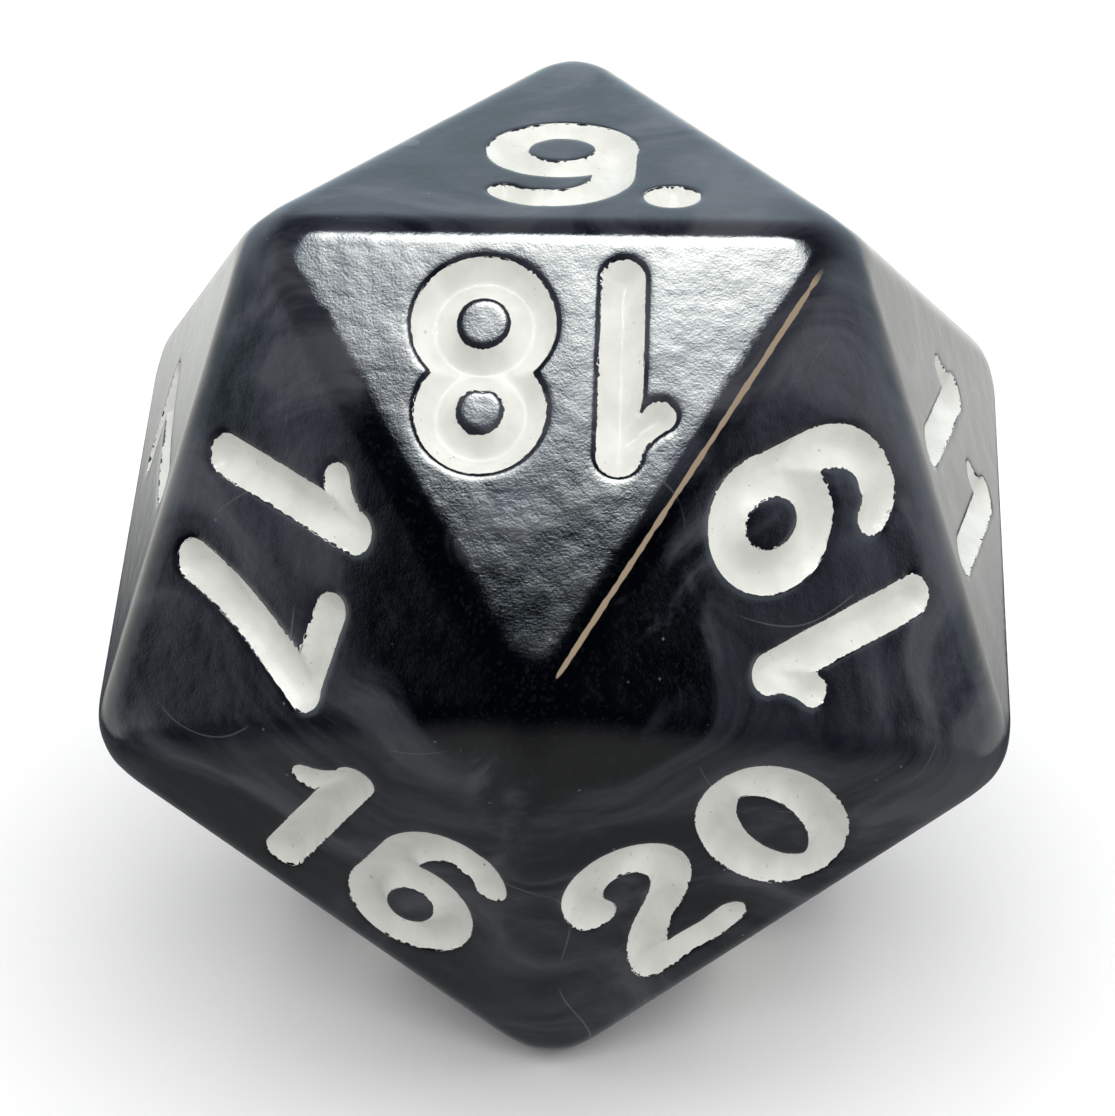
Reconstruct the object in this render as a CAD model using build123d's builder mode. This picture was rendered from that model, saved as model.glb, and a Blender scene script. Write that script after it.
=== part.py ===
from build123d import *
import os
from math import sqrt

# A twenty-sided countdown die: one moulded body with its numerals engraved in the faces, and a
# fill of white paint in each engraving. Consecutive numbers lie on faces that share an edge.
# Millimetres, +Z up. The die rests on face 14, and the origin is the middle of that face. The
# face that carries 18 looks towards -Y.

# Driving dimensions of the body
ACROSS_FACES = 22.0
EDGE_RADIUS = 1.2
CORNER_CUT = 0.55
CORNER_RADIUS = 1.8

# Driving dimensions of the numerals
NUMERAL_HEIGHT = 5.7
NUMERAL_BASELINE = -3.3
ROUND_WIDTH = 3.45
SEVEN_WIDTH = 3.2
STROKE = 1.12
FLAG_STROKE = 0.9
FLAG_REACH = 1.4
WAIST_OVERLAP = 0.02
THROAT_RADIUS = 0.15
GAP_AFTER_ONE = 1.0
GAP_AFTER_TWO = 0.35
DOT_DIAMETER = 1.3
DOT_GAP = 0.35
ENGRAVING_DEPTH = 0.5
ENGRAVING_DRAFT = 20
PAINT_RECESS = 0.12

# The numbers round two opposite corners, in order of the five edges of each corner's cap: on
# the cap itself, and on the belt of faces across those edges.
FRONT_CAP = (18, 19, 20, 16, 17)
FRONT_BELT = (9, 11, 13, 15, 7)
BACK_CAP = (4, 5, 1, 2, 3)
BACK_BELT = (14, 6, 8, 10, 12)
DOTTED = (6, 9)

# Regular icosahedron with a face up and a face down
golden = (1 + sqrt(5)) / 2
inner_radius = ACROSS_FACES / 2
edge_length = 2 * sqrt(3) * inner_radius / golden**2
outer_radius = edge_length * sqrt(golden * sqrt(5)) / 2
face_radius = edge_length / sqrt(3)
waist_radius = face_radius * golden
waist_height = inner_radius / golden**3
centre = Vector(0, 0, inner_radius)


def corner(radius, height, azimuth):
    """A corner of the icosahedron, measured from its centre."""
    return Vector(radius, 0, height).rotate(Axis.Z, azimuth)


front_pole = corner(waist_radius, waist_height, 270)
front_ring = (
    corner(face_radius, inner_radius, 210),
    corner(face_radius, inner_radius, 330),
    corner(waist_radius, -waist_height, 330),
    corner(face_radius, -inner_radius, 270),
    corner(waist_radius, -waist_height, 210),
)
back_pole = -front_pole
back_ring = tuple(-point for point in front_ring)


def faces_round(pole, ring, cap_numbers, belt_numbers):
    """The corners of the ten faces round a pole by number, each with its upper corner first."""
    faces = {}
    for i in range(5):
        left, right = ring[i], ring[(i + 1) % 5]
        across = -ring[(i + 3) % 5]
        faces[cap_numbers[i]] = (pole, left, right)
        faces[belt_numbers[i]] = (across, left, right)
    return faces


def face_plane(corners):
    """Plane on a face: its normal points out, and its Y axis points to the upper corner."""
    middle = (corners[0] + corners[1] + corners[2]) / 3
    normal = middle.normalized()
    upwards = corners[0] - middle
    return Plane(centre + middle, x_dir=upwards.cross(normal), z_dir=normal)


face_corners = faces_round(front_pole, front_ring, FRONT_CAP, FRONT_BELT)
face_corners |= faces_round(back_pole, back_ring, BACK_CAP, BACK_BELT)
face_planes = {number: face_plane(face_corners[number]) for number in sorted(face_corners)}


# The digits are strokes of one width with round ends. Each digit stands on Y = 0 and has its
# left side at X = 0. These are the middle lines of its outermost strokes.
half_stroke = STROKE / 2
base = half_stroke
top = NUMERAL_HEIGHT - half_stroke
left = half_stroke
right = ROUND_WIDTH - half_stroke
middle = ROUND_WIDTH / 2
round_radius = middle - half_stroke
upper_radius = 1.1
waist = top - 2 * upper_radius
lower_radius = (waist - base) / 2
six_bowl_height = 4.0


def digit_0():
    with BuildSketch() as digit:
        with Locations((middle, NUMERAL_HEIGHT / 2)):
            SlotOverall(NUMERAL_HEIGHT, ROUND_WIDTH, rotation=90)
            counter_height = NUMERAL_HEIGHT - 2 * STROKE
            SlotOverall(counter_height, ROUND_WIDTH - 2 * STROKE, rotation=90, mode=Mode.SUBTRACT)
    return [digit.sketch]


def digit_1():
    with BuildLine() as stem:
        Line((FLAG_REACH, base), (FLAG_REACH, top))
    with BuildLine() as flag:
        Line((FLAG_REACH, top - 0.4), (FLAG_STROKE / 2, top - 1))
    with BuildSketch() as digit:
        SlotArc(stem.wire(), STROKE)
        SlotArc(flag.wire(), FLAG_STROKE)
    return [digit.sketch]


def digit_2():
    with BuildLine() as neck:
        hook = CenterArc((middle, top - round_radius), round_radius, 185, -225)
        TangentArc(hook @ 1, (left, base), tangent=hook % 1)
    with BuildLine() as foot:
        Line((left, base), (right, base))
    with BuildSketch() as digit:
        SlotArc(neck.wire(), STROKE)
        SlotArc(foot.wire(), STROKE)
    return [digit.sketch]


def digit_3():
    with BuildLine() as upper_bowl:
        CenterArc((middle, waist + upper_radius), upper_radius, 165, -255)
    with BuildLine() as lower_bowl:
        CenterArc((middle, base + lower_radius), lower_radius, 90, -255)
    with BuildSketch() as digit:
        SlotArc(upper_bowl.wire(), STROKE)
        SlotArc(lower_bowl.wire(), STROKE)
    return [digit.sketch]


def digit_4():
    stem_x = 2.3
    bar_y = 1.85
    with BuildLine() as elbow:
        Polyline((stem_x, top), (left, bar_y), (right, bar_y))
    with BuildLine() as stem:
        Line((stem_x, top), (stem_x, base))
    with BuildSketch() as digit:
        SlotArc(elbow.wire(), STROKE)
        SlotArc(stem.wire(), STROKE)
    return [digit.sketch]


def digit_5():
    bowl_radius = 1.29
    back_x = left + 0.25
    with BuildLine() as bowl:
        arc = CenterArc((left + bowl_radius, base + bowl_radius), bowl_radius, 140, -285)
    with BuildLine() as back:
        Line((back_x, top), arc @ 0)
    with BuildLine() as bar:
        Line((back_x, top), (right - 0.2, top))
    with BuildSketch() as digit:
        SlotArc(bowl.wire(), STROKE)
        SlotArc(back.wire(), STROKE)
        SlotArc(bar.wire(), STROKE)
        inner_corners = digit.vertices().filter_by_position(Axis.X, 1, 2)
        fillet(inner_corners.filter_by_position(Axis.Y, waist, top), THROAT_RADIUS)
    return [digit.sketch]


def digit_6():
    with BuildLine() as spine:
        side = TangentArc((left, six_bowl_height / 2), (1.0, 4.4), tangent=(0, 1))
        TangentArc(side @ 1, (right - 0.05, top - 0.55), tangent=side % 1)
    with BuildSketch() as digit:
        with Locations((middle, six_bowl_height / 2)):
            SlotOverall(six_bowl_height, ROUND_WIDTH, rotation=90)
        SlotArc(spine.wire(), STROKE)
        with Locations((middle, six_bowl_height / 2)):
            counter_height = six_bowl_height - 2 * STROKE
            SlotOverall(counter_height, ROUND_WIDTH - 2 * STROKE, rotation=90, mode=Mode.SUBTRACT)
    return [digit.sketch]


def digit_7():
    bar_end = (SEVEN_WIDTH - half_stroke, top)
    with BuildLine() as bar:
        Line((left, top), bar_end)
    with BuildLine() as leg:
        ThreePointArc(bar_end, (1.83, NUMERAL_HEIGHT / 2), (1.3, base))
    with BuildSketch() as digit:
        SlotArc(bar.wire(), STROKE)
        SlotArc(leg.wire(), STROKE)
    return [digit.sketch]


def ring(centre_y, radius):
    with BuildSketch() as loop:
        with Locations((middle, centre_y)):
            Circle(radius + half_stroke)
            Circle(radius - half_stroke, mode=Mode.SUBTRACT)
    return loop.sketch


def digit_8():
    """Two rings, which run together at the waist once both are engraved."""
    small_radius = upper_radius - WAIST_OVERLAP
    return [ring(top - small_radius, small_radius), ring(base + lower_radius, lower_radius)]


def digit_9():
    with BuildSketch() as digit:
        with Locations(Location((ROUND_WIDTH, NUMERAL_HEIGHT), 180)):
            add(digit_6())
    return [digit.sketch]


def dot():
    with BuildSketch() as mark:
        with Locations((DOT_DIAMETER / 2, DOT_DIAMETER / 2)):
            Circle(DOT_DIAMETER / 2)
    return [mark.sketch]


def engraving(outlines):
    """The space that outlines take out of a level face at Z = 0, with drafted walls."""
    with BuildPart() as space:
        for outline in outlines:
            with BuildSketch():
                add(outline)
            extrude(amount=-ENGRAVING_DEPTH, taper=ENGRAVING_DRAFT)
    return space.part


def filling(space):
    """The paint in an engraved space, from its floor to just under the face."""
    with BuildPart() as paint:
        add(space)
        split(bisect_by=Plane.XY.offset(-PAINT_RECESS), keep=Keep.BOTTOM)
    return paint.part


marks = {
    "0": digit_0(), "1": digit_1(), "2": digit_2(), "3": digit_3(), "4": digit_4(), "5": digit_5(),
    "6": digit_6(), "7": digit_7(), "8": digit_8(), "9": digit_9(), ".": dot(),
}
narrow_widths = {"1": FLAG_REACH + half_stroke, "7": SEVEN_WIDTH}
engravings = {mark: engraving(outlines) for mark, outlines in marks.items()}
fillings = {mark: filling(space) for mark, space in engravings.items()}


def numeral_marks(number):
    """The marks of a number and where each starts along X, its digits centred on the face."""
    numeral = str(number)
    widths = [narrow_widths.get(mark, ROUND_WIDTH) for mark in numeral]
    gap = GAP_AFTER_ONE if numeral[0] == "1" else GAP_AFTER_TWO
    total_width = sum(widths) + gap * (len(numeral) - 1)
    x = -total_width / 2
    placed = []
    for mark, width in zip(numeral, widths):
        placed.append((mark, x))
        x += width + gap
    if number in DOTTED:
        placed.append((".", total_width / 2 + DOT_GAP))
    return placed


# The body: the icosahedron with its corners cut back to a ball and every edge rounded
shell = Shell([Face(Wire.make_polygon([centre + point for point in corners], close=True))
               for corners in face_corners.values()])

with BuildPart() as die_body:
    add(Solid(shell))
    with Locations(centre):
        Sphere(outer_radius - CORNER_CUT, mode=Mode.INTERSECT)
    fillet(die_body.edges().filter_by(GeomType.LINE), EDGE_RADIUS)
    corner_caps = die_body.faces().filter_by(GeomType.SPHERE)
    fillet(corner_caps.edges(), CORNER_RADIUS)
    for number, plane in face_planes.items():
        for mark, x in numeral_marks(number):
            with Locations(plane.location * Location((x, NUMERAL_BASELINE))):
                add(engravings[mark], mode=Mode.SUBTRACT)

die_body.part.label = "die_body"
os.makedirs("parts", exist_ok=True)
export_step(die_body.part, "parts/die_body.step")


# The paint: one node for each face, with a separate solid for each digit or dot
for number, plane in face_planes.items():
    with BuildPart() as paint:
        for mark, x in numeral_marks(number):
            with Locations(plane.location * Location((x, NUMERAL_BASELINE))):
                add(fillings[mark])
    paint.part.label = f"numeral_{number:02d}_paint"
    export_step(paint.part, f"parts/{paint.part.label}.step")
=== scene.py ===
from math import acos, cos, hypot, pi, radians, sin, sqrt

import bpy
import numpy as np
from mathutils import Matrix, Vector
from mathutils.geometry import delaunay_2d_cdt


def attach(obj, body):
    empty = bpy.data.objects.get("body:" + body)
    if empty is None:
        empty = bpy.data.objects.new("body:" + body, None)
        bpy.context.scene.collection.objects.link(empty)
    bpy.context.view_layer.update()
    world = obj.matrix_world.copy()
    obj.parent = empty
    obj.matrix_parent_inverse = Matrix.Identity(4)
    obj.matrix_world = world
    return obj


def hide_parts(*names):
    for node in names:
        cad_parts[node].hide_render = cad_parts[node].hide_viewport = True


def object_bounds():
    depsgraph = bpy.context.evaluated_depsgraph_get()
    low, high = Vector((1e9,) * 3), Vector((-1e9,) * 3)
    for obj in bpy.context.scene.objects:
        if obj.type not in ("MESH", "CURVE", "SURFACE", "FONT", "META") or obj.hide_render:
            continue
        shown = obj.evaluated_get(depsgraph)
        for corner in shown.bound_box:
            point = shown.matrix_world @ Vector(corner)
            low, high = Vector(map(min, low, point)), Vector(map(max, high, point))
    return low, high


# A twenty-sided countdown die in dark marbled plastic, its numerals engraved and painted white.
# Lengths are millimetres, and MM turns them into Blender's metres.

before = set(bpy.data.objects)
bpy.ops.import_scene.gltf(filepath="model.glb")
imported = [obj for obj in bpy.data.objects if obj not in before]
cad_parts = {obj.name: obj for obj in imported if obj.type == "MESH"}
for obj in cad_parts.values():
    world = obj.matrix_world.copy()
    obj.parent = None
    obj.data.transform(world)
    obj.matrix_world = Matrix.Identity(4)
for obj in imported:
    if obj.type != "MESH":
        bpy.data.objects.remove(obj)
cad_low, cad_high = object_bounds()

MM = 0.001
ACROSS_FACES = (cad_high.z - cad_low.z) / MM
INNER_RADIUS = ACROSS_FACES / 2
CENTRE = np.array([0.0, 0.0, cad_low.z / MM + INNER_RADIUS])

# Regular icosahedron with a face up and a face down
GOLDEN = (1 + sqrt(5)) / 2
EDGE = 2 * sqrt(3) * INNER_RADIUS / GOLDEN**2
OUTER_RADIUS = EDGE * sqrt(GOLDEN * sqrt(5)) / 2
FACE_RADIUS = EDGE / sqrt(3)
FACE_INRADIUS = FACE_RADIUS / 2
WAIST_RADIUS = FACE_RADIUS * GOLDEN
WAIST_HEIGHT = INNER_RADIUS / GOLDEN**3
FACE_ANGLE = acos(-sqrt(5) / 3)

# Azimuths of the corners on the front half, in degrees round from +x
LEFT, FRONT, RIGHT = 210, 270, 330

# Numbers round two opposite corners: on the cap of five faces, and on the belt next to it
FRONT_CAP = (18, 19, 20, 16, 17)
FRONT_BELT = (9, 11, 13, 15, 7)
BACK_CAP = (4, 5, 1, 2, 3)
BACK_BELT = (14, 6, 8, 10, 12)

# Body. A corner is squeezed from this part of the outer radius, by this much per square millimetre
EDGE_RADIUS = 1.2
TIP_START = 0.93
TIP_SQUEEZE = 0.40

# Numerals. SLIM comes off each side of a stroke, and the dotted numerals are wider and higher
HEIGHT = 5.7
BASELINE = -3.3
STROKE = 1.12
SLIM = 0.045
GAP_AFTER_ONE = 1.0
GAP_AFTER_TWO = 0.35
DOT_RADIUS = 0.72
DOT_LENGTH = 0.02
DOT_GAP = 0.1
DOTTED = (6, 9)
DOTTED_RISE = 0.2
DOTTED_STRETCH = 1.2

# Engraving and paint, as depths under the face and distances from the edge of the strokes
LIP_WIDTH = 0.26
LIP_SAG = 0.016
BRINK_WIDTH = 0.045
LIP_DEPTH = 0.045
WALL_WIDTH = 0.15
FLOOR_DEPTH = 0.55
PAINT_RIM_DEPTH = 0.055
PAINT_DEPTH = 0.42
PAINT_BLUNTNESS = 0.9
PAINT_SKIN = 0.02
PAINT_LEAST_DEPTH = 0.015
PAINT_WAVE_DEPTH = 0.012
PAINT_WAVE_SIZE = 0.9

# The paint's ragged rim
RAGGED_LEAST = 0.018
RAGGED_MORE = 0.09
WANDER = 0.015

# Mesh: points are closer together near a corner, and rows of points run round each face
CORNER_REACH = 2.4
CORNER_STEP = 0.17
MIDDLE_POINTS = 26
BEND_ROWS = (0.25, 0.5, 0.75, 1, 1.35)
FLAT_ROWS = (0.85, 1.15, 1.5, 1.9, 2.35, 2.85, 3.35, 3.8)
FLAT_SPACING = 0.4
LIP_CLEARANCE = 0.12

# Mesh lines round the strokes, as a distance from their edge and the spacing of its points
BODY_GRID, BODY_MARGIN = 0.05, 0.5
BODY_LINES = ((LIP_WIDTH, 0.12), (0.16, 0.11), (BRINK_WIDTH, 0.08), (0.02, 0.07),
              (-0.05, 0.08), (-0.2, 0.12), (-0.42, 0.2))
PAINT_GRID, PAINT_MARGIN = 0.03, 0.3
PAINT_RIM_LINE = (0.03, 0.04)
PAINT_LINES = ((-0.13, 0.09), (-0.22, 0.1), (-0.31, 0.11), (-0.4, 0.12), (-0.48, 0.14),
               (-0.53, 0.16))
LEAST_LINE_POINTS = 6
SAME_PLACE = 1e-7
SHARP_ANGLE = 50

# Smooth noise: cells in its table, a shift that keeps places positive, and what each use adds to
# the number of the face to get its seed
GRAIN_CELLS = 64
GRAIN_SHIFT = 17.3
RAGGED_SEED, FRAYED_SEED, ROUGHNESS_SEED, WANDER_SEED, WAVE_SEED = 0, 50, 100, 200, 300

# Colours of the plastic, with the painted shade of the front corner and the painted tan reflection
# of one edge. The swirl's are the stops of a ramp, from its dark bands to its pale ones
SWIRL_COLOURS = ((0.38, (0.0012, 0.0014, 0.0028)), (0.46, (0.009, 0.0095, 0.0135)),
                 (0.53, (0.023, 0.024, 0.031)), (0.63, (0.052, 0.053, 0.062)))
HAIRLINE_COLOUR = (0.13, 0.13, 0.14)
DARK_SWIRL_AND_SHADE_COLOUR = (0.0004, 0.0004, 0.0007)
FLAKE_COLOUR = (0.12, 0.125, 0.14)
TAN_REFLECTION_COLOUR = (0.30, 0.235, 0.165)

# The dark pool round the front corner, dark plastic deepened with painted shade: its middle is
# above the corner, and its edge wanders
POOL_RADIUS = 6.2
POOL_RISE = 2.2
POOL_FADE = 2
POOL_WANDER = 9.0

# The tan line on the edge between 18 and 19, a painted reflection, and how far from its upper
# corner it fades out
LINE_WIDTH = 0.14
LINE_WANDER = 0.07
LINE_FADE = (1.2, 1.8)

# Colours of the paint and the floor
PAINT_DULL, PAINT_WHITE = (0.66, 0.665, 0.62), (0.78, 0.785, 0.74)
DIRT_COLOUR = (0.10, 0.10, 0.11)
FLOOR_GREY, FLOOR_WHITE = (0.86, 0.86, 0.86), (0.90, 0.90, 0.90)
FLOOR_REACH = 600.0

# What reflections see. Directions are an azimuth and an elevation in degrees
LAMP = (-4, 80)
LAMP_SPREAD = 13.0
LAMP_FALLOFF = 2.5
LAMP_RIM_COLOUR, LAMP_CORE_COLOUR = (34.0, 42.0, 50.0), (44.0, 45.5, 44.0)
LAMP_CORE = (0.2, 0.75)
DARK_FRONT = (-2.6, -10)
DARK_FRONT_COSINES = (0.14, 0.30)
WALL_FOOT = (-26, -18)
WALL_TOP = (84, 20)
GROUND = (-12, -70)
GROUND_LIGHT = 0.22
LOW_TINT, HIGH_TINT = (1.16, 1.18, 1.13), (0.76, 0.93, 1.06)
TINT_HEIGHTS = (-0.15, 0.05)
UNLIT = (0.008, 0.014, 0.034)

# What bounced light sees: its strength from the level, and what is added from above and the right
FILL = 0.62
FILL_FROM_ABOVE = 1.15
FILL_FROM_RIGHT = 0.25
FILL_MOST = 2.0
CAMERA_SEES = (1.0, 1.0, 1.0)

# Camera, from a fit to the die's corners and outline in the photograph
VIEW = (3.413, 27.815)
ROLL = -0.589
AIM_RIGHT, AIM_UP = -0.136, -0.332
DISTANCE = 92.564
LENS = 111.7
NEAREST_SEEN = 0.001


# ---- Icosahedron ----

def corner(radius, height, azimuth):
    """A corner of the icosahedron, measured from its centre."""
    angle = radians(azimuth)
    return np.array([radius * cos(angle), radius * sin(angle), height])


def front_pole():
    """The corner nearest the camera, where faces 16 to 20 meet."""
    return corner(WAIST_RADIUS, WAIST_HEIGHT, FRONT)


def top_right_corner():
    return corner(FACE_RADIUS, INNER_RADIUS, RIGHT)


def faces_round(pole, ring, cap_numbers, belt_numbers):
    """The corners of the ten faces round a pole by number, each with its upper corner first."""
    faces = {}
    for i in range(5):
        left, right = ring[i], ring[(i + 1) % 5]
        faces[cap_numbers[i]] = (pole, left, right)
        faces[belt_numbers[i]] = (-ring[(i + 3) % 5], left, right)
    return faces


def numbered_faces():
    """The corners of all twenty faces by number."""
    pole = front_pole()
    ring = [
        corner(FACE_RADIUS, INNER_RADIUS, LEFT),
        top_right_corner(),
        corner(WAIST_RADIUS, -WAIST_HEIGHT, RIGHT),
        corner(FACE_RADIUS, -INNER_RADIUS, FRONT),
        corner(WAIST_RADIUS, -WAIST_HEIGHT, LEFT),
    ]
    faces = faces_round(pole, ring, FRONT_CAP, FRONT_BELT)
    faces |= faces_round(-pole, [-point for point in ring], BACK_CAP, BACK_BELT)
    return faces


def unit(vector):
    return vector / np.linalg.norm(vector)


class Face:
    """A face's own axes: x and y in the face, y to its upper corner, and its outward normal."""

    def __init__(self, corners):
        self.corners = corners
        self.middle = sum(corners) / 3
        self.normal = unit(self.middle)
        self.y_axis = unit(corners[0] - self.middle)
        self.x_axis = np.cross(self.y_axis, self.normal)

    def body_points(self, flat, depth):
        """Points of the rounded body over flat face points, sunk by depth."""
        inner = nearest_in_triangle(flat, FACE_RADIUS * (1 - EDGE_RADIUS / INNER_RADIUS))
        reach = np.column_stack([flat - inner, np.full(len(flat), EDGE_RADIUS)])
        reach *= EDGE_RADIUS / np.linalg.norm(reach, axis=1)[:, None]
        local = np.column_stack([inner, np.full(len(flat), -EDGE_RADIUS)]) + reach
        local[:, 2] -= depth
        points = self.middle + local @ np.array([self.x_axis, self.y_axis, self.normal])
        for tip in self.corners:
            points = squeeze_tip(points, unit(tip))
        return points + CENTRE


def triangle_tips(radius):
    """Tips of the upright equilateral triangle of that circumradius."""
    return radius * np.array([[sin(a), cos(a)] for a in (0, 2 * pi / 3, 4 * pi / 3)])


def nearest_in_triangle(points, radius):
    """Nearest points in the upright equilateral triangle of that circumradius."""
    tips = triangle_tips(radius)
    best = points.copy()
    outside = np.zeros(len(points), bool)
    best_distance = np.full(len(points), np.inf)
    for i in range(3):
        start, end = tips[i], tips[(i + 1) % 3]
        along = end - start
        outward = -(tips[(i + 2) % 3])
        beyond = points @ outward - start @ outward > 0
        outside |= beyond
        t = np.clip((points - start) @ along / (along @ along), 0, 1)
        nearest = start + t[:, None] * along
        distance = np.linalg.norm(points - nearest, axis=1)
        closer = distance < best_distance
        best_distance = np.where(closer, distance, best_distance)
        best = np.where(closer[:, None], nearest, best)
    return np.where(outside[:, None], best, points)


def squeeze_tip(points, direction):
    """Rounds a corner more than its edges by squeezing what lies far out along its direction."""
    start = OUTER_RADIUS * TIP_START
    beyond = np.maximum(points @ direction - start, 0)
    return points - (TIP_SQUEEZE * beyond**2)[:, None] * direction


# ---- Digits, as strokes with round ends, from the lower left of each digit ----

def line(*points):
    return np.array(points, float)


def arc(centre_x, centre_y, radius_x, radius_y, start, end, steps=24):
    """Points along an ellipse, between two angles in degrees."""
    angles = np.radians(np.linspace(start, end, steps))
    x = centre_x + radius_x * np.cos(angles)
    y = centre_y + radius_y * np.sin(angles)
    return np.column_stack([x, y])


def curve(a, b, c, d, steps=16):
    """A cubic curve from a to d that leaves towards b and arrives from c."""
    t = np.linspace(0, 1, steps)[:, None]
    a, b, c, d = (np.array(p, float) for p in (a, b, c, d))
    return (1 - t)**3 * a + 3 * (1 - t)**2 * t * b + 3 * (1 - t) * t**2 * c + t**3 * d


def stroke(path, start_width=STROKE, end_width=None):
    """A path with the half width at each of its points."""
    widths = np.linspace(start_width, end_width or start_width, len(path)) / 2
    return np.column_stack([path, widths])


def digit_0():
    return [stroke(arc(1.7, 2.85, 1.14, 2.29, 0, 360, 48))]


def digit_1():
    return [
        stroke(line((1.4, 0.56), (1.4, 5.14))),
        stroke(curve((1.35, 4.98), (1.1, 4.6), (0.9, 4.35), (0.46, 4.12)), 1.0, 0.86),
    ]


def digit_2():
    return [
        stroke(line((0.6, 3.92), (0.62, 3.8)), 1.2),
        stroke(arc(1.74, 4.0, 1.16, 1.15, 185, 0)),
        stroke(curve((2.9, 4.0), (2.9, 2.6), (0.95, 2.6), (0.56, 0.62), 20)),
        stroke(line((0.56, 0.56), (1.6, 0.58), (2.3, 0.52), (2.92, 0.62)), 1.1, 1.0),
    ]


def digit_3():
    return [
        stroke(arc(1.66, 4.04, 1.06, 1.1, 165, -90)),
        stroke(arc(1.68, 1.75, 1.2, 1.19, 90, -165, 30)),
    ]


def digit_4():
    return [
        stroke(line((2.3, 5.14), (0.56, 1.85), (2.95, 1.85))),
        stroke(line((2.3, 5.14), (2.3, 0.56))),
    ]


def digit_5():
    return [
        stroke(line((2.7, 5.14), (0.85, 5.14), (0.66, 2.75)), 1.06),
        stroke(arc(1.66, 1.86, 1.27, 1.3, 140, -150, 32)),
    ]


def digit_6():
    return turned(digit_9(), WIDTHS[9])


def digit_7():
    return [
        stroke(line((0.52, 5.18), (2.62, 5.14)), 1.02),
        stroke(curve((2.64, 5.14), (2.1, 3.7), (1.5, 2.6), (1.3, 0.56))),
    ]


def digit_8():
    return [
        stroke(arc(1.76, 4.05, 1.08, 1.1, 0, 360, 40), 1.05),
        stroke(arc(1.76, 1.77, 1.2, 1.21, 0, 360, 44), 1.14),
    ]


def digit_9():
    return [
        stroke(arc(1.79, 3.82, 1.16, 1.32, 0, 360, 44), 1.14),
        stroke(line((2.94, 3.9), (2.94, 2.3))),
        stroke(arc(1.72, 2.1, 1.22, 1.54, 0, -100), STROKE, 1.08),
        stroke(arc(1.5, 1.98, 1.05, 1.43, -92, -138), 1.08, 0.9),
    ]


def turned(strokes, width):
    """Strokes turned upside down about the middle of a digit."""
    return [np.column_stack([width - s[:, 0], HEIGHT - s[:, 1], s[:, 2]]) for s in strokes]


def dot():
    """The dot as a very short stroke, because a stroke needs two ends."""
    ends = line((DOT_RADIUS, DOT_RADIUS), (DOT_RADIUS + DOT_LENGTH, DOT_RADIUS))
    return [stroke(ends, 2 * DOT_RADIUS)]


DIGITS = (digit_0, digit_1, digit_2, digit_3, digit_4, digit_5, digit_6, digit_7, digit_8, digit_9)
WIDTHS = (3.4, 1.96, 3.46, 3.4, 3.5, 3.45, 3.5, 3.2, 3.52, 3.5)


def numeral(number):
    """The strokes of a number in its face's axes, centred from side to side."""
    dotted = number in DOTTED
    stretch = DOTTED_STRETCH if dotted else 1
    baseline = BASELINE + (DOTTED_RISE if dotted else 0)
    digits = [int(character) for character in str(number)]
    gap = GAP_AFTER_ONE if digits[0] == 1 else GAP_AFTER_TWO
    total = (sum(WIDTHS[d] for d in digits) + gap * (len(digits) - 1)) * stretch
    x = -total / 2
    strokes = []
    for d in digits:
        strokes += [s * (stretch, 1, 1) + (x, baseline, 0) for s in DIGITS[d]()]
        x += WIDTHS[d] + gap
    if dotted:
        strokes += [s + (total / 2 + DOT_GAP, baseline, 0) for s in dot()]
    return strokes


def distance_to(strokes, points):
    """Distance from points to the edge of the strokes, negative inside them."""
    best = np.full(len(points), np.inf)
    for path in strokes:
        for a, b in zip(path[:-1], path[1:]):
            along = b[:2] - a[:2]
            t = np.clip((points - a[:2]) @ along / (along @ along), 0, 1)
            away = points - a[:2] - t[:, None] * along
            half_width = a[2] + t * (b[2] - a[2]) - SLIM
            best = np.minimum(best, np.hypot(away[:, 0], away[:, 1]) - half_width)
    return best


# ---- Depth of the engraving and of the paint in it ----

def engraved_depth(distance):
    """Depth of the body's surface: a soft lip, a steep wall and a round floor."""
    lip = np.clip(1 - distance / LIP_WIDTH, 0, 1)**2 * LIP_SAG
    lip += np.clip(1 - distance / BRINK_WIDTH, 0, 1)**2 * (LIP_DEPTH - LIP_SAG)
    within = np.maximum(-distance, 0)
    hollow = LIP_DEPTH + (FLOOR_DEPTH - LIP_DEPTH) * (1 - np.exp(-within / WALL_WIDTH))
    return np.where(distance > 0, lip, hollow)


def paint_depth(distance):
    """Depth of the paint's surface: a hollow with sloping sides and a rounded bottom."""
    t = np.clip(-distance / (STROKE / 2), 0, 1)
    full = sqrt(1 + PAINT_BLUNTNESS**2)
    hollow = (full - np.sqrt((1 - t)**2 + PAINT_BLUNTNESS**2)) / (full - PAINT_BLUNTNESS)
    wanted = PAINT_RIM_DEPTH + (PAINT_DEPTH - PAINT_RIM_DEPTH) * hollow
    above_floor = np.minimum(wanted, engraved_depth(distance) - PAINT_SKIN)
    return np.maximum(above_floor, PAINT_LEAST_DEPTH)


# ---- Level lines of a field on a grid ----

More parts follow.
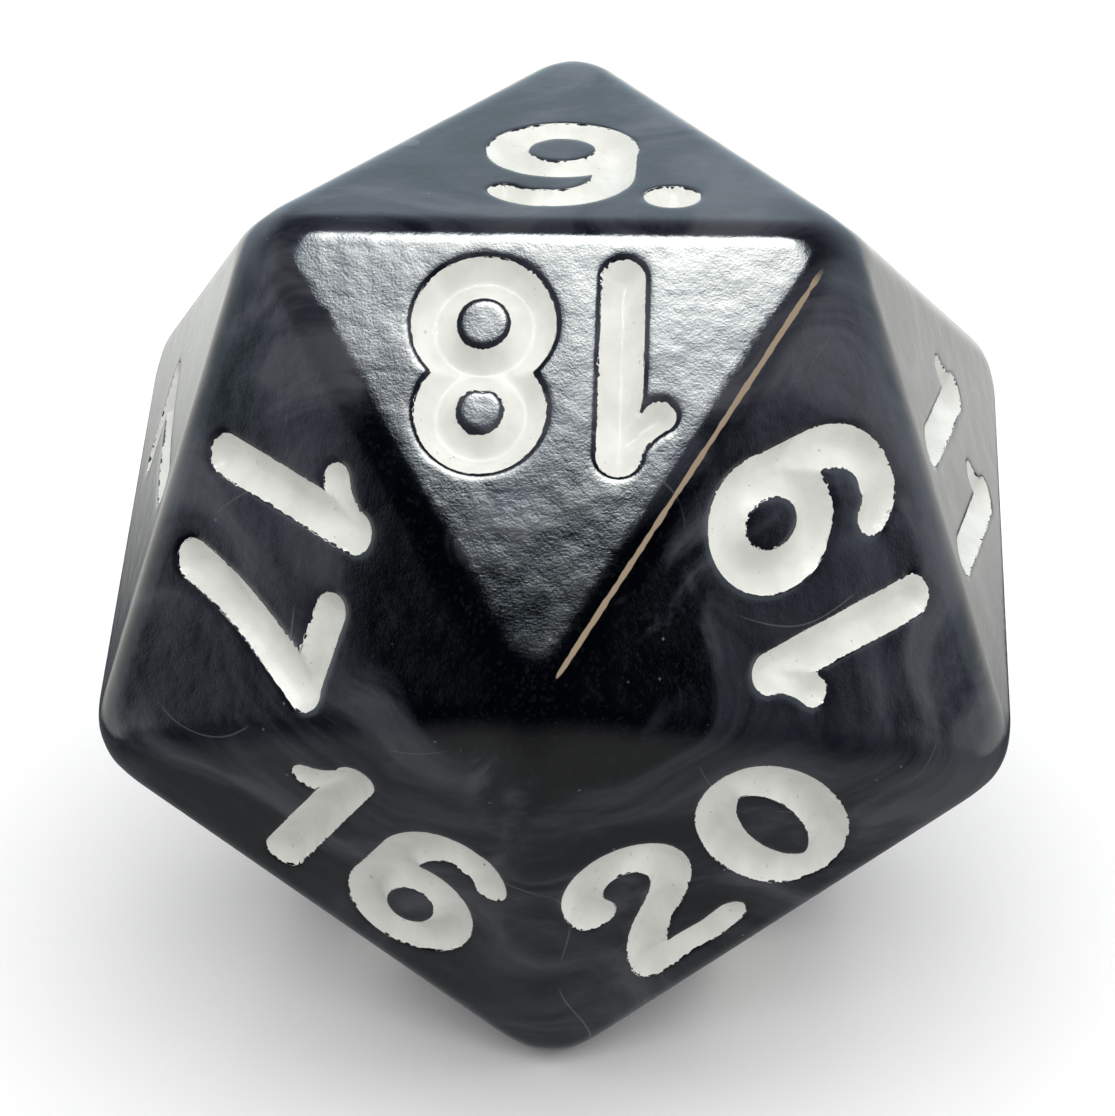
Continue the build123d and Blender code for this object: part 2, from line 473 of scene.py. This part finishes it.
class Grid:
    """A square grid of points over the part of a face that carries the numeral."""

    def __init__(self, strokes, spacing, margin):
        points = np.vstack(strokes)
        low = points[:, :2].min(axis=0) - STROKE / 2 - margin
        high = points[:, :2].max(axis=0) + STROKE / 2 + margin
        self.x = np.arange(low[0], high[0], spacing)
        self.y = np.arange(low[1], high[1], spacing)
        gx, gy = np.meshgrid(self.x, self.y, indexing="ij")
        self.points = np.column_stack([gx.ravel(), gy.ravel()])
        self.shape = gx.shape

    def loops(self, values, level):
        """Closed lines on which values, one for each grid point, reach a level."""
        field = values.reshape(self.shape) - level
        below = field < 0
        cells = below[:-1, :-1].astype(int) + below[1:, :-1] + below[:-1, 1:] + below[1:, 1:]
        following = {}
        for i, j in zip(*np.nonzero((cells > 0) & (cells < 4))):
            round_cell = ((i, j), (i + 1, j), (i + 1, j + 1), (i, j + 1))
            entries, exits = [], []
            for k in range(4):
                a, b = round_cell[k], round_cell[(k + 1) % 4]
                if below[a] != below[b]:
                    crossing = (a, b) if a < b else (b, a)
                    (exits if below[a] else entries).append((k, crossing))
            for k, crossing in entries:
                nearest_exit = min(exits, key=lambda e: (e[0] - k) % 4)
                following[crossing] = nearest_exit[1]
        loops = []
        while following:
            first, crossing = following.popitem()
            path = [first]
            while crossing != first:
                path.append(crossing)
                crossing = following.pop(crossing)
            loops.append(np.array([self.crossing_point(field, a, b) for a, b in path]))
        return loops

    def crossing_point(self, field, a, b):
        """Where the field is zero between two neighbouring grid points."""
        t = field[a] / (field[a] - field[b])
        start = np.array([self.x[a[0]], self.y[a[1]]])
        end = np.array([self.x[b[0]], self.y[b[1]]])
        return start + t * (end - start)


def evenly_spaced(loop, spacing):
    """The same closed line with evenly spaced points, or None if it is too short."""
    closed = np.vstack([loop, loop[:1]])
    run = np.concatenate([[0], np.cumsum(np.linalg.norm(np.diff(closed, axis=0), axis=1))])
    count = int(round(run[-1] / spacing))
    if count < LEAST_LINE_POINTS:
        return None
    at = np.arange(count) * run[-1] / count
    return np.column_stack([np.interp(at, run, closed[:, 0]), np.interp(at, run, closed[:, 1])])


def level_lines(grid, values, level, spacing):
    spaced = [evenly_spaced(loop, spacing) for loop in grid.loops(values, level)]
    return [loop for loop in spaced if loop is not None]


def inside(points, loops):
    """Whether each point lies inside the loops, by counting crossings."""
    odd = np.zeros(len(points), bool)
    for loop in loops:
        for (ax, ay), (bx, by) in zip(loop, np.roll(loop, -1, axis=0)):
            spans = (points[:, 1] < ay) != (points[:, 1] < by)
            if ay != by:
                odd ^= spans & (points[:, 0] < ax + (points[:, 1] - ay) * (bx - ax) / (by - ay))
    return odd


def triangulated(loops, loose_points):
    """Triangles between closed lines and loose points, with the points they use."""
    inside_only = 1
    points = []
    edges = []
    for loop in loops:
        first = len(points)
        points += list(loop)
        edges += [(first + i, first + (i + 1) % len(loop)) for i in range(len(loop))]
    points = np.array(points + list(loose_points))
    vectors = [Vector(p) for p in points]
    made = delaunay_2d_cdt(vectors, edges, [], inside_only, SAME_PLACE)
    places, _, triangles, origins = made[:4]
    places = np.array([points[origin[0]] if origin else tuple(place)
                       for place, origin in zip(places, origins)])
    return places, np.array(triangles)


# ---- Body ----

def edge_stations():
    """Places along an edge as parts of its length, closer together near the corners."""
    near_corner = np.arange(0, CORNER_REACH, CORNER_STEP)
    middle = np.linspace(CORNER_REACH, EDGE - CORNER_REACH, MIDDLE_POINTS)
    far_corner = EDGE - near_corner[::-1]
    return np.concatenate([near_corner, middle, far_corner])[:-1] / EDGE


def triangle_ring(inset, stations):
    """Points round the face at an inset from its edges."""
    tips = triangle_tips(FACE_RADIUS * (1 - inset / FACE_INRADIUS))
    sides = [tips[i] + stations[:, None] * (tips[(i + 1) % 3] - tips[i]) for i in range(3)]
    return np.vstack(sides)


def flat_ring(inset):
    """Evenly spaced points round the flat of the face at an inset from its edges."""
    side = EDGE * (1 - inset / FACE_INRADIUS)
    count = max(2, int(side / FLAT_SPACING))
    return triangle_ring(inset, np.linspace(0, 1, count, endpoint=False))


def face_patch(face, strokes):
    """The points and triangles of one face of the body with its numeral engraved."""
    flat_inset = EDGE_RADIUS * FACE_INRADIUS / INNER_RADIUS
    stations = edge_stations()
    boundary = triangle_ring(0, stations)
    rows = [triangle_ring(flat_inset * part, stations) for part in BEND_ROWS]
    rows += [flat_ring(inset) for inset in FLAT_ROWS]
    loose = np.vstack(rows + [np.zeros((1, 2))])
    loose = loose[distance_to(strokes, loose) > LIP_WIDTH + LIP_CLEARANCE]
    grid = Grid(strokes, BODY_GRID, BODY_MARGIN)
    distance = distance_to(strokes, grid.points)
    lines = []
    for level, spacing in BODY_LINES:
        lines += level_lines(grid, distance, level, spacing)
    points, triangles = triangulated([boundary] + lines, loose)
    depth = engraved_depth(distance_to(strokes, points))
    return face.body_points(points, depth), triangles


def mesh_object(name, points, triangles, material):
    mesh = bpy.data.meshes.new(name)
    mesh.from_pydata((points * MM).tolist(), [], triangles.tolist())
    mesh.materials.append(material)
    mesh.polygons.foreach_set("use_smooth", [True] * len(mesh.polygons))
    mesh.update()
    made = bpy.data.objects.new(name, mesh)
    bpy.context.collection.objects.link(made)
    return made


def joined(patches):
    """Patches as one set of points and triangles, with their common points made one."""
    points = []
    triangles = []
    count = 0
    for patch_points, patch_triangles in patches:
        points.append(patch_points)
        triangles.append(patch_triangles + count)
        count += len(patch_points)
    points = np.vstack(points)
    rounded = np.round(points, 4)
    _, first, same = np.unique(rounded, axis=0, return_index=True, return_inverse=True)
    triangles = same.reshape(-1)[np.vstack(triangles)]
    a, b, c = triangles.T
    return points[first], triangles[(a != b) & (b != c) & (a != c)]


# ---- Paint ----

def grain(points, size, seed):
    """Smooth noise between -1 and 1 whose features are about as large as size."""
    n = GRAIN_CELLS
    table = np.random.default_rng(seed).uniform(-1, 1, (n, n))
    scaled = points / size + GRAIN_SHIFT
    cell = np.floor(scaled).astype(int)
    t = scaled - cell
    t = t * t * (3 - 2 * t)
    x, y = cell[:, 0] % n, cell[:, 1] % n
    x2, y2 = (x + 1) % n, (y + 1) % n
    low = table[x, y] * (1 - t[:, 0]) + table[x2, y] * t[:, 0]
    high = table[x, y2] * (1 - t[:, 0]) + table[x2, y2] * t[:, 0]
    return low * (1 - t[:, 1]) + high * t[:, 1]


def rim_wander(points, number):
    """How far the paint's ragged edge strays from the engraving's edge."""
    roughness = 0.5 + 0.5 * grain(points, 1.1, number + ROUGHNESS_SEED)
    ragged = 0.5 * grain(points, 0.1, number + RAGGED_SEED)
    ragged = ragged + 0.5 * grain(points, 0.055, number + FRAYED_SEED)
    wander = WANDER * grain(points, 0.5, number + WANDER_SEED)
    return ragged * (RAGGED_LEAST + RAGGED_MORE * roughness**2) + wander


def closed(top, bottom, triangles):
    """A shut mesh between two surfaces that have the same triangles."""
    count = len(top)
    pairs = np.vstack([triangles[:, [0, 1]], triangles[:, [1, 2]], triangles[:, [2, 0]]])
    known = {tuple(pair) for pair in pairs.tolist()}
    open_pairs = np.array([pair for pair in sorted(known) if pair[::-1] not in known])
    a, b = open_pairs[:, 0], open_pairs[:, 1]
    lower_sides = np.column_stack([a, a + count, b + count])
    upper_sides = np.column_stack([a, b + count, b])
    under = triangles[:, ::-1] + count
    return np.vstack([top, bottom]), np.vstack([triangles, under, lower_sides, upper_sides])


def paint_patch(face, strokes, number):
    """The points and triangles of one face's paint, closed underneath."""
    grid = Grid(strokes, PAINT_GRID, PAINT_MARGIN)
    distance = distance_to(strokes, grid.points)
    rim = level_lines(grid, distance + rim_wander(grid.points, number), *PAINT_RIM_LINE)
    lines = []
    for level, spacing in PAINT_LINES:
        lines += level_lines(grid, distance, level, spacing)
    points, triangles = triangulated(rim + lines, [])
    triangles = triangles[inside(points[triangles].mean(axis=1), rim)]
    distance = distance_to(strokes, points)
    waves = PAINT_WAVE_DEPTH * grain(points, PAINT_WAVE_SIZE, number + WAVE_SEED)
    top = face.body_points(points, paint_depth(distance) + waves)
    bottom = face.body_points(points, engraved_depth(distance) + PAINT_SKIN)
    return closed(top, bottom, triangles)


# ---- Materials ----

class Nodes:
    """Small helper that adds and links the nodes of one tree."""

    def __init__(self, tree):
        self.tree = tree
        tree.nodes.clear()

    def plug(self, socket, value):
        """Links a socket to another node's output, or sets it to a number, vector or colour."""
        if isinstance(value, bpy.types.NodeSocket):
            self.tree.links.new(value, socket)
        else:
            socket.default_value = (*value, 1) if socket.type == "RGBA" else value

    def add(self, kind, inputs=None, **settings):
        node = self.tree.nodes.new(kind)
        for name, value in settings.items():
            setattr(node, name, value)
        for name, value in (inputs or {}).items():
            self.plug(node.inputs[name], value)
        return node

    def end_in(self, output_kind, shader):
        self.plug(self.add(output_kind).inputs[0], shader.outputs[0])

    def noise(self, place, scale, detail=3.0, roughness=0.5, distortion=0.0):
        node = self.add("ShaderNodeTexNoise", inputs={
            "Vector": place, "Scale": scale, "Detail": detail, "Roughness": roughness,
            "Distortion": distortion})
        return node.outputs["Fac"]

    def ramp(self, factor, *stops):
        node = self.add("ShaderNodeValToRGB", inputs={"Fac": factor})
        elements = node.color_ramp.elements
        while len(elements) < len(stops):
            elements.new(0.5)
        for element, (position, value) in zip(elements, stops):
            element.position = position
            element.color = (*value, 1) if isinstance(value, tuple) else (value, value, value, 1)
        return node.outputs["Color"]

    def mix(self, factor, a, b):
        """Colour a where the factor is 0 and b where it is 1."""
        node = self.add("ShaderNodeMix", data_type="RGBA", inputs={0: factor, 6: a, 7: b})
        return node.outputs[2]

    def math(self, operation, a, b=0.0):
        return self.add("ShaderNodeMath", operation=operation, inputs={0: a, 1: b}).outputs[0]

    def vector(self, operation, *values):
        node = self.add("ShaderNodeVectorMath", operation=operation, inputs=dict(enumerate(values)))
        gives_number = operation in ("DISTANCE", "LENGTH", "DOT_PRODUCT")
        return node.outputs["Value" if gives_number else "Vector"]

    def between(self, value, low, high, interpolation="SMOOTHSTEP"):
        """How far a value is from low to high, from 0 to 1."""
        node = self.add("ShaderNodeMapRange", interpolation_type=interpolation, inputs={
            "Value": value, "From Min": low, "From Max": high, "To Min": 0.0, "To Max": 1.0})
        return node.outputs["Result"]

    def bump(self, height, strength, distance, normal=None):
        inputs = {"Height": height, "Strength": strength, "Distance": distance}
        if normal:
            inputs["Normal"] = normal
        return self.add("ShaderNodeBump", inputs=inputs).outputs["Normal"]


def new_material(name):
    material = bpy.data.materials.new(name)
    material.use_nodes = True
    return material, Nodes(material.node_tree)


def millimetres(nodes):
    """Places on the object in millimetres."""
    place = nodes.add("ShaderNodeTexCoord").outputs["Object"]
    scaled = nodes.add("ShaderNodeVectorMath", operation="SCALE", inputs={
        0: place, "Scale": 1 / MM})
    return scaled.outputs["Vector"]


def distance_from_line(nodes, place, start, end):
    """Distance in millimetres from the line through two corners of the die."""
    offset = nodes.vector("SUBTRACT", place, start)
    return nodes.vector("LENGTH", nodes.vector("CROSS_PRODUCT", offset, unit(end - start)))


def marbled_plastic():
    """Near-black plastic with slate swirls, fine glitter and dust, painted shade round the front
    corner and a painted tan reflection on one edge.
    """
    material, nodes = new_material("marbled_plastic")
    place = millimetres(nodes)
    flow = swirl(nodes, place)
    colour = nodes.ramp(flow, *SWIRL_COLOURS)
    colour = nodes.mix(hairlines(nodes, place), colour, HAIRLINE_COLOUR)
    # Painted shade: the base colour goes almost black round the front corner, over the plastic's
    # own dark swirl
    colour = nodes.mix(dark_pool(nodes, place, flow), colour, DARK_SWIRL_AND_SHADE_COLOUR)
    colour = nodes.mix(glitter(nodes, place), colour, FLAKE_COLOUR)
    # Painted reflection: a tan line along the crest of one edge, as a mark in the base colour
    colour = nodes.mix(worn_edge(nodes, place), colour, TAN_REFLECTION_COLOUR)
    undulation = nodes.noise(place, scale=1.1, detail=2.5, roughness=0.55)
    skin = nodes.noise(place, scale=15.0, detail=2.0, roughness=0.6)
    roughness = nodes.ramp(nodes.between(undulation, 0.3, 0.7), (0.0, 0.07), (1.0, 0.13))
    broad = nodes.bump(undulation, strength=0.5, distance=0.022 * MM)
    fine = nodes.bump(skin, strength=0.5, distance=0.0042 * MM, normal=broad)
    shader = nodes.add("ShaderNodeBsdfPrincipled", inputs={
        "Base Color": colour, "Roughness": roughness, "Normal": fine, "IOR": 1.5})
    nodes.end_in("ShaderNodeOutputMaterial", shader)
    return material


def swirl(nodes, place):
    """Noise drawn out into long bands that bend round one another."""
    bend, band_shape = (10.0, 22.0, 22.0), (0.25, 1.0, 1.0)
    warp = nodes.add("ShaderNodeTexNoise", inputs={"Vector": place, "Scale": 0.10, "Detail": 1.5})
    bent = nodes.vector("MULTIPLY_ADD", warp.outputs["Color"], bend, place)
    drawn_out = nodes.vector("MULTIPLY", bent, band_shape)
    return nodes.noise(drawn_out, scale=0.30, detail=5.0, roughness=0.58, distortion=0.35)


def hairlines(nodes, place):
    """A few long, thin, pale lines left by handling, where a noise is at one level."""
    level = nodes.noise(place, scale=0.15, detail=0.0)
    off_level = nodes.math("ABSOLUTE", nodes.math("SUBTRACT", level, 0.47))
    thin = nodes.between(off_level, 0.0022, 0.0008)
    shown = nodes.between(nodes.noise(place, scale=0.33, detail=1.0), 0.50, 0.58)
    return nodes.math("MULTIPLY", thin, nodes.math("MULTIPLY", shown, 0.45))


def dark_pool(nodes, place, flow):
    """The darker plastic round the front corner, deepened with painted shade, whose edge follows
    the swirl.
    """
    uneven = nodes.math("MULTIPLY", nodes.math("SUBTRACT", flow, 0.5), POOL_WANDER)
    middle = front_pole() + CENTRE + (0, 0, POOL_RISE)
    away = nodes.math("ADD", nodes.vector("DISTANCE", place, middle), uneven)
    return nodes.between(away, POOL_RADIUS, POOL_RADIUS - POOL_FADE)


def glitter(nodes, place):
    """Sparse pearl flakes and a little dust."""
    flakes = nodes.add("ShaderNodeTexVoronoi", inputs={"Vector": place, "Scale": 12.0})
    grey = nodes.add("ShaderNodeRGBToBW")
    nodes.plug(grey.inputs["Color"], flakes.outputs["Color"])
    pearl = nodes.math("MULTIPLY", nodes.between(grey.outputs[0], 0.62, 0.9), 0.03)
    dust = nodes.add("ShaderNodeTexVoronoi", inputs={"Vector": place, "Scale": 1.1})
    speck = nodes.math("MULTIPLY", nodes.between(dust.outputs["Distance"], 0.06, 0.02), 0.8)
    return nodes.math("MAXIMUM", pearl, speck)


def worn_edge(nodes, place):
    """A painted reflection: the tan line along the crest of the edge between faces 18 and 19."""
    start, end = front_pole() + CENTRE, top_right_corner() + CENTRE
    away = distance_from_line(nodes, place, start, end)
    crest = EDGE_RADIUS / sin(FACE_ANGLE / 2) - EDGE_RADIUS
    rim = hypot(crest, LINE_WIDTH / 2)
    noise = nodes.noise(place, scale=1.6, detail=3.0)
    wander = nodes.math("MULTIPLY", nodes.math("SUBTRACT", noise, 0.5), LINE_WANDER)
    inward = nodes.math("SUBTRACT", nodes.math("ADD", wander, rim), away)
    on_line = nodes.between(inward, -0.006, 0.008)
    from_end = nodes.between(nodes.vector("DISTANCE", place, end), *LINE_FADE)
    return nodes.math("MULTIPLY", on_line, from_end)


def numeral_paint():
    """Warm white gloss paint, a little uneven, with small dark specks."""
    material, nodes = new_material("numeral_paint")
    place = millimetres(nodes)
    uneven = nodes.noise(place, scale=0.9, detail=3.0)
    specks = nodes.noise(place, scale=5.5, detail=4.0, roughness=0.65)
    base = nodes.ramp(nodes.between(uneven, 0.3, 0.7), (0.0, PAINT_DULL), (1.0, PAINT_WHITE))
    dirt = nodes.math("MULTIPLY", nodes.between(specks, 0.66, 0.74), 0.75)
    colour = nodes.mix(dirt, base, DIRT_COLOUR)
    ripple = nodes.noise(place, scale=2.6, detail=3.0, roughness=0.5)
    normal = nodes.bump(ripple, strength=0.4, distance=0.035 * MM)
    shader = nodes.add("ShaderNodeBsdfPrincipled", inputs={
        "Base Color": colour, "Roughness": 0.38, "Normal": normal, "IOR": 1.4})
    nodes.end_in("ShaderNodeOutputMaterial", shader)
    return material


def pale_floor():
    """Matt white, with a faint grain."""
    material, nodes = new_material("pale_floor")
    place = nodes.add("ShaderNodeTexCoord").outputs["Object"]
    fine = nodes.noise(place, scale=60.0, detail=2.0)
    colour = nodes.ramp(fine, (0.0, FLOOR_GREY), (1.0, FLOOR_WHITE))
    normal = nodes.bump(fine, strength=0.05, distance=0.2 * MM)
    shader = nodes.add("ShaderNodeBsdfPrincipled", inputs={
        "Base Color": colour, "Roughness": 0.7, "Normal": normal})
    nodes.end_in("ShaderNodeOutputMaterial", shader)
    return material


# ---- Die ----

def build_die():
    plastic = marbled_plastic()
    paint = numeral_paint()
    patches = []
    for number, corners in numbered_faces().items():
        face = Face(corners)
        strokes = numeral(number)
        patches.append(face_patch(face, strokes))
        points, triangles = paint_patch(face, strokes, number)
        piece = mesh_object(f"painted_{number:02d}", points, triangles, paint)
        piece.data.set_sharp_from_angle(angle=radians(SHARP_ANGLE))
        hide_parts(f"numeral_{number:02d}_paint")
        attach(piece, "root")
    body = mesh_object("moulded_body", *joined(patches), plastic)
    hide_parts("die_body")
    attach(body, "root")


# ---- Stage, light and camera ----

def lay_floor():
    """A pale floor. It catches the shadow, but the world below stands in for it in reflections
    and bounced light, which keeps the lower faces as dark as they are in the photograph."""
    reach = FLOOR_REACH * MM
    low = CENTRE[2] * MM - INNER_RADIUS * MM
    corners = [(x * reach, y * reach, low) for x, y in ((-1, -1), (1, -1), (1, 1), (-1, 1))]
    mesh = bpy.data.meshes.new("floor")
    mesh.from_pydata(corners, [], [(0, 1, 2, 3)])
    mesh.materials.append(pale_floor())
    floor = bpy.data.objects.new("floor", mesh)
    bpy.context.collection.objects.link(floor)
    floor.visible_glossy = False
    floor.visible_diffuse = False


def direction(azimuth, elevation):
    """Unit vector at an elevation and an azimuth, which grows from the front towards the right."""
    a, e = radians(azimuth), radians(elevation)
    return (sin(a) * cos(e), -cos(a) * cos(e), sin(e))


def between_elevations(nodes, z, elevations):
    low, high = elevations
    return nodes.between(z, sin(radians(low)), sin(radians(high)))


def reflected_room(nodes, ray, z):
    """A small soft lamp overhead, dim walls, a dimmer ground, and darkness in front."""
    from_lamp = nodes.vector("DOT_PRODUCT", ray, direction(*LAMP))
    lamp_axis = nodes.between(from_lamp, cos(radians(LAMP_SPREAD)), 1.0, "LINEAR")
    lamp = nodes.math("POWER", lamp_axis, LAMP_FALLOFF)
    lamp_core = nodes.between(lamp_axis, *LAMP_CORE)
    lamp_tint = nodes.mix(lamp_core, LAMP_RIM_COLOUR, LAMP_CORE_COLOUR)
    from_front = nodes.vector("DOT_PRODUCT", ray, direction(*DARK_FRONT))
    not_front = nodes.math("SUBTRACT", 1.0, nodes.between(from_front, *DARK_FRONT_COSINES))
    walls = nodes.math("MULTIPLY", between_elevations(nodes, z, WALL_FOOT),
                       between_elevations(nodes, z, WALL_TOP))
    walls = nodes.math("MULTIPLY", walls, not_front)
    ground = nodes.math("MULTIPLY", between_elevations(nodes, z, GROUND), GROUND_LIGHT)
    room_tint = nodes.mix(nodes.between(z, *TINT_HEIGHTS), LOW_TINT, HIGH_TINT)
    room = nodes.mix(nodes.math("MAXIMUM", walls, ground), UNLIT, room_tint)
    return nodes.mix(lamp, room, lamp_tint)


def bounced_light(nodes, x, z):
    """A smooth grey that is brighter from above and from the right."""
    above = nodes.math("MULTIPLY", nodes.math("MAXIMUM", z, 0.0), FILL_FROM_ABOVE)
    right = nodes.math("MULTIPLY", x, FILL_FROM_RIGHT)
    fill = nodes.math("ADD", nodes.math("ADD", above, FILL), right)
    part = nodes.math("MULTIPLY", fill, 1 / FILL_MOST)
    return nodes.mix(part, (0.0, 0.0, 0.0), (FILL_MOST, FILL_MOST, FILL_MOST))


def light_world():
    """The light is all in the world, and isn't the same for every ray: reflections see a shaped
    room, bounced light sees a smooth gradient, and the camera sees white."""
    world = bpy.data.worlds.new("studio")
    bpy.context.scene.world = world
    world.use_nodes = True
    world.cycles.sampling_method = "NONE"
    nodes = Nodes(world.node_tree)
    ray = nodes.add("ShaderNodeTexCoord").outputs["Generated"]
    parts = nodes.add("ShaderNodeSeparateXYZ", inputs={"Vector": ray}).outputs
    shine = reflected_room(nodes, ray, parts["Z"])
    fill = bounced_light(nodes, parts["X"], parts["Z"])
    path = nodes.add("ShaderNodeLightPath").outputs
    lit = nodes.mix(path["Is Glossy Ray"], fill, shine)
    colour = nodes.mix(path["Is Camera Ray"], lit, CAMERA_SEES)
    background = nodes.add("ShaderNodeBackground", inputs={"Color": colour, "Strength": 1.0})
    nodes.end_in("ShaderNodeOutputWorld", background)


def place_camera():
    back = Vector(direction(*VIEW))
    turn = back.to_track_quat("Z", "Y").to_matrix() @ Matrix.Rotation(radians(ROLL), 3, "Z")
    aim = Vector(CENTRE) + turn.col[0] * AIM_RIGHT + turn.col[1] * AIM_UP
    data = bpy.data.cameras.new("camera")
    data.lens = LENS
    data.clip_start = NEAREST_SEEN
    camera = bpy.data.objects.new("camera", data)
    camera.matrix_world = Matrix.Translation((aim + back * DISTANCE) * MM) @ turn.to_4x4()
    bpy.context.collection.objects.link(camera)
    bpy.context.scene.camera = camera


build_die()
lay_floor()
light_world()
place_camera()
bpy.context.scene.view_settings.view_transform = "Standard"
